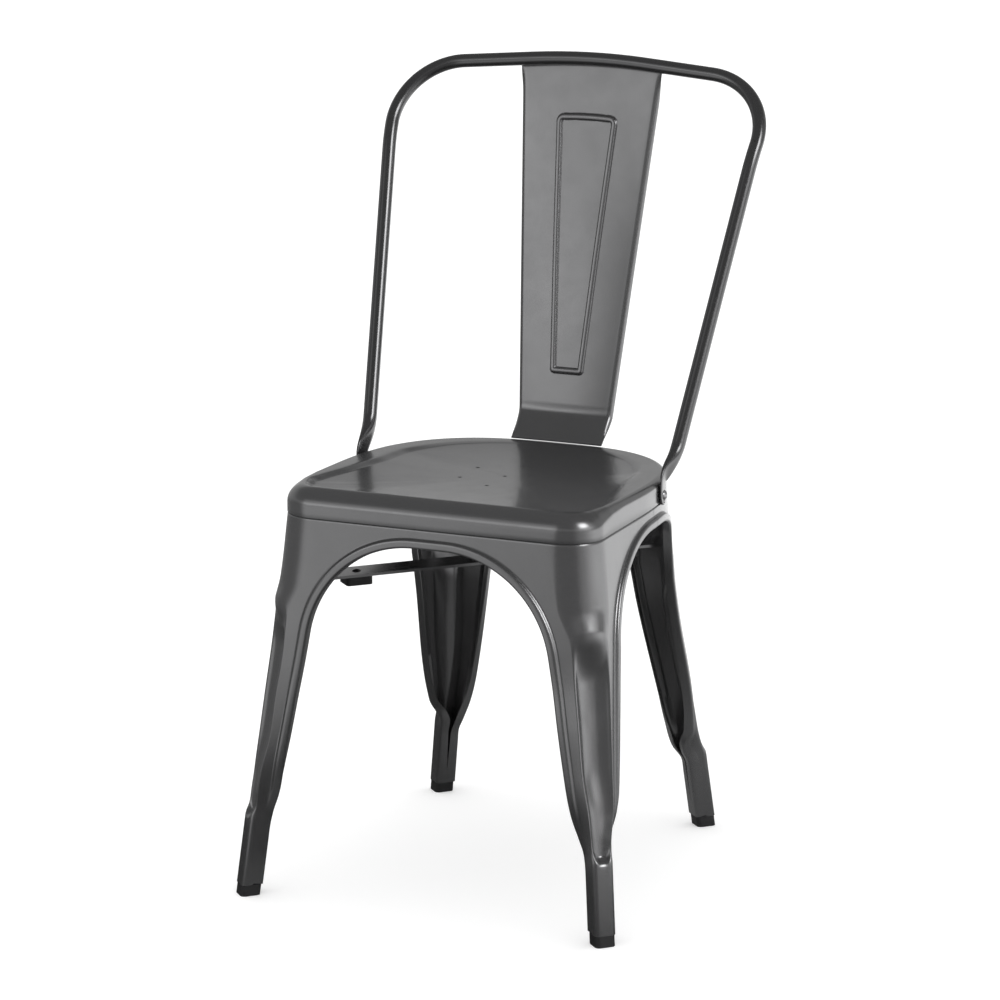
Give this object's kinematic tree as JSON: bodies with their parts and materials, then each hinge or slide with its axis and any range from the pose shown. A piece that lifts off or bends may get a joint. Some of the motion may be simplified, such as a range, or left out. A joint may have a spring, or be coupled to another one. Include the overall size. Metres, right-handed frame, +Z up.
{
  "type": "metal bistro chair",
  "caption": "Stacking chair of pressed sheet steel with a dished seat, four fluted splayed legs, a bent tube back hoop and a tapered back splat.",
  "frame": {"origin": "middle of the chair's box in plan, on the floor", "axes": "+Z up, +X to the right seen from the front, the front of the seat faces -Y"},
  "size_m": [0.4422, 0.4817, 0.8504],
  "materials": {
    "gunmetal_paint": "satin metallic grey coat",
    "black_rubber": "matte",
    "plated_fixings": "dull plated"
  },
  "bodies": {
    "root": {"seat_pan": "gunmetal_paint", "front_left_leg": "gunmetal_paint", "front_right_leg": "gunmetal_paint", "rear_left_leg": "gunmetal_paint", "rear_right_leg": "gunmetal_paint", "front_left_foot": "black_rubber", "front_right_foot": "black_rubber", "rear_left_foot": "black_rubber", "rear_right_foot": "black_rubber", "back_hoop": "gunmetal_paint", "back_splat": "gunmetal_paint", "hoop_bolts": "plated_fixings", "hoop_washers": "plated_fixings", "hoop_nuts": "plated_fixings", "hoop_pins": "plated_fixings", "brace_strip_upper": "gunmetal_paint", "brace_strip_lower": "gunmetal_paint", "front_left_bumper": "black_rubber", "front_right_bumper": "black_rubber", "rear_left_bumper": "black_rubber", "rear_right_bumper": "black_rubber", "bumper_rivets": "plated_fixings", "brace_rivet": "plated_fixings"}
  },
  "joints": []
}
